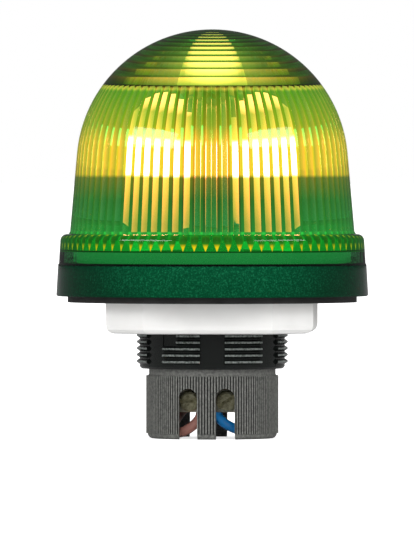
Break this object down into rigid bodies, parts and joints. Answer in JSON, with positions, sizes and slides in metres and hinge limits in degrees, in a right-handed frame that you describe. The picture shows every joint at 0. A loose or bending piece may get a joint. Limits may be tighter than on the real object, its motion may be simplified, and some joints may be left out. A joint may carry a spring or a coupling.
{
  "type": "panel pilot light",
  "caption": "Dome-shaped panel pilot light: fluted green lens, black base with threaded barrel, white panel nut and ribbed terminal housing.",
  "frame": {"origin": "on the axis of the threaded barrel, at the plane where the gasket meets the panel's front face", "axes": "+Z along the barrel towards the dome, -Y towards the side with the terminal screws, +X to its right"},
  "size_m": [0.0764, 0.0762, 0.1001],
  "materials": {
    "lens_green": "clear green plastic, polished, with prism flutes and rings inside",
    "rubber_black": "matt black rubber",
    "base_black": "black moulded plastic, glossy on the thread",
    "nut_white": "white moulded plastic",
    "housing_grey": "dark grey moulded plastic with fine ribs",
    "block_black": "black insulating moulding",
    "brass": "plain brass",
    "zinc_plate": "zinc-plated steel",
    "screw_zinc": "yellow passivated zinc plating",
    "lead_brown": "brown-pink insulation",
    "lead_blue": "blue insulation",
    "spring_steel": "bright steel wire",
    "nickel": "nickel plating",
    "bulb_glass": "clear glass",
    "bulb_bead": "dark glass bead with solder contacts",
    "filament": "glowing tungsten"
  },
  "bodies": {
    "body": {"base": "base_black", "panel_gasket": "rubber_black", "lens_seal": "rubber_black", "terminal_housing": "housing_grey", "terminal_block": "block_black", "terminal_left": "brass", "terminal_right": "brass", "lead_brown": "lead_brown", "lead_blue": "lead_blue", "contact_tab_left": "brass", "contact_tab_right": "brass", "contact_spring_left": "spring_steel", "contact_spring_right": "spring_steel", "lamp_holder": "nickel"},
    "dome": {"lens": "lens_green"},
    "nut": {"mounting_nut": "nut_white"},
    "bulb": {"bulb_glass": "bulb_glass", "bulb_cap": "nickel", "bulb_insulator": "bulb_bead", "filament": "filament", "filament_supports": "spring_steel"},
    "plunger_left": {"contact_plunger_left": "brass"},
    "plunger_right": {"contact_plunger_right": "brass"},
    "plate_left": {"clamp_plate_left": "zinc_plate"},
    "plate_right": {"clamp_plate_right": "zinc_plate"},
    "screw_left": {"terminal_screw_left": "screw_zinc"},
    "screw_right": {"terminal_screw_right": "screw_zinc"}
  },
  "joints": [
    {"name": "nut_travel", "type": "slide", "parent": "body", "child": "nut", "axis": [0, 0, -1], "range_m": [0, 0.0258]},
    {"name": "lens_twist", "type": "hinge", "parent": "body", "child": "dome", "pos_m": [0, 0, 0], "axis": [0, 0, 1], "range_deg": [0, 30]},
    {"name": "bulb_press", "type": "slide", "parent": "body", "child": "bulb", "axis": [0, 0, -1], "range_m": [0, 0.0025], "stiffness_N_per_m": 900, "springref_m": -0.003},
    {"name": "contact_press_left", "type": "slide", "parent": "body", "child": "plunger_left", "axis": [0, 0, -1], "range_m": [0, 0.0025], "deforming": ["contact_spring_left"]},
    {"name": "contact_press_right", "type": "slide", "parent": "body", "child": "plunger_right", "axis": [0, 0, -1], "range_m": [0, 0.0025], "deforming": ["contact_spring_right"]},
    {"name": "clamp_open_left", "type": "slide", "parent": "body", "child": "plate_left", "axis": [-0.0941, -0.9956, 0], "range_m": [0, 0.001]},
    {"name": "screw_turn_left", "type": "hinge", "parent": "plate_left", "child": "screw_left", "pos_m": [-0.00541, -0.00893, -0.024], "axis": [-0.0941, -0.9956, 0], "range_deg": [0, 600]},
    {"name": "clamp_open_right", "type": "slide", "parent": "body", "child": "plate_right", "axis": [-0.0941, -0.9956, 0], "range_m": [0, 0.001]},
    {"name": "screw_turn_right", "type": "hinge", "parent": "plate_right", "child": "screw_right", "pos_m": [0.00364, -0.00979, -0.024], "axis": [-0.0941, -0.9956, 0], "range_deg": [0, 600]}
  ],
  "couplings": [
    {"joint": "contact_press_left", "follows": "bulb_press", "ratio": 1},
    {"joint": "contact_press_right", "follows": "bulb_press", "ratio": 1},
    {"joint": "screw_turn_left", "follows": "clamp_open_left", "rad_per_m": 10472},
    {"joint": "screw_turn_right", "follows": "clamp_open_right", "rad_per_m": 10472}
  ]
}
